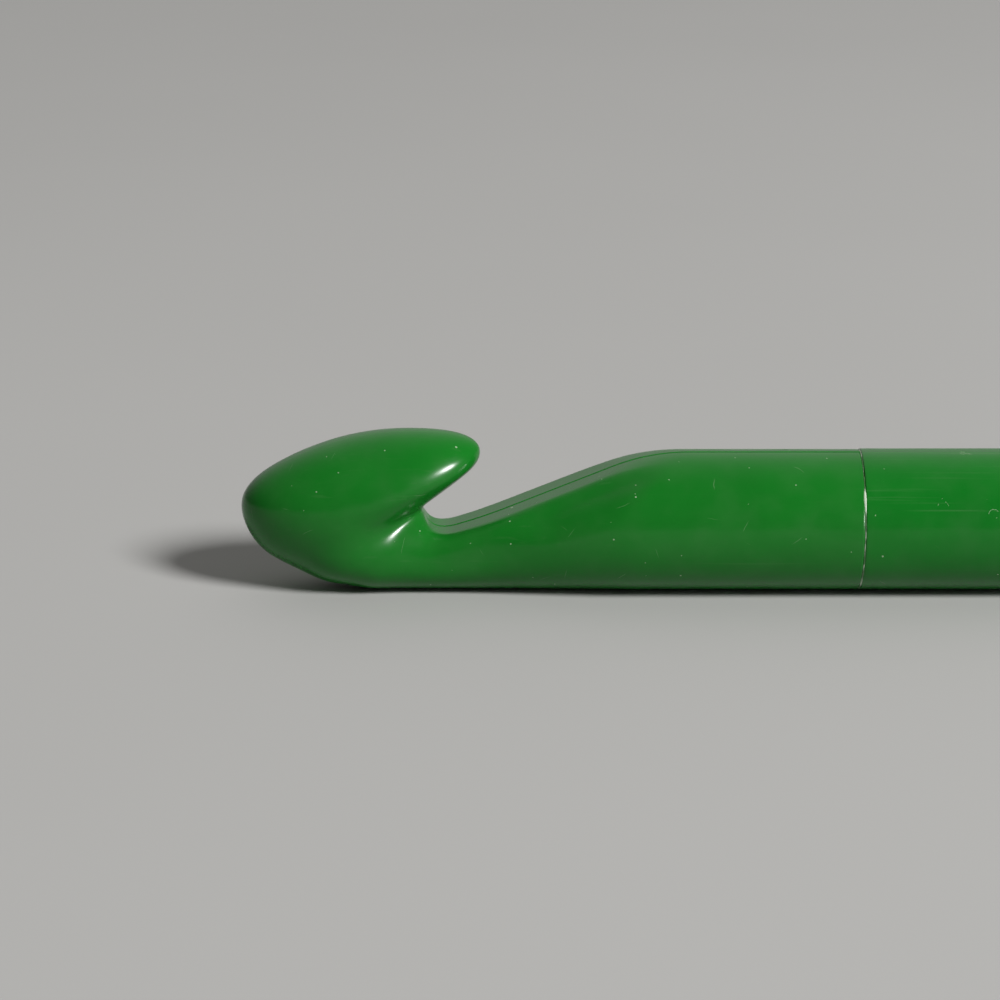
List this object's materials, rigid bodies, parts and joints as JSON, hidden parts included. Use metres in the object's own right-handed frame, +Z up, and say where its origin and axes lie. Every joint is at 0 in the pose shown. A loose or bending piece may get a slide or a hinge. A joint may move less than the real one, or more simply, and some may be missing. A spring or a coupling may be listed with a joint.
{
  "type": "crochet hook",
  "caption": "Jumbo plastic crochet hook: moulded head with raised lip and throat, hollow round shaft cemented to it, rounded end plug.",
  "frame": {"origin": "centre of the underside: midway between the nose and the plug's end face, on the plane the hook lies on", "axes": "+X from the hook's nose to the end plug, +Z up through the lip, +Y to the far side"},
  "size_m": [0.1799, 0.015, 0.0174],
  "materials": {
    "moulded_plastic": "smooth moulded gloss, light handling scratches",
    "extruded_plastic": "smooth extruded satin gloss, faint lengthwise draw lines and small nicks",
    "joint_cement": "dried cement, pale and slightly rough"
  },
  "bodies": {
    "root": {"hook_head": "moulded_plastic", "shaft_tube": "extruded_plastic", "end_plug": "moulded_plastic", "head_joint_cement": "joint_cement", "plug_joint_cement": "joint_cement"}
  },
  "joints": []
}
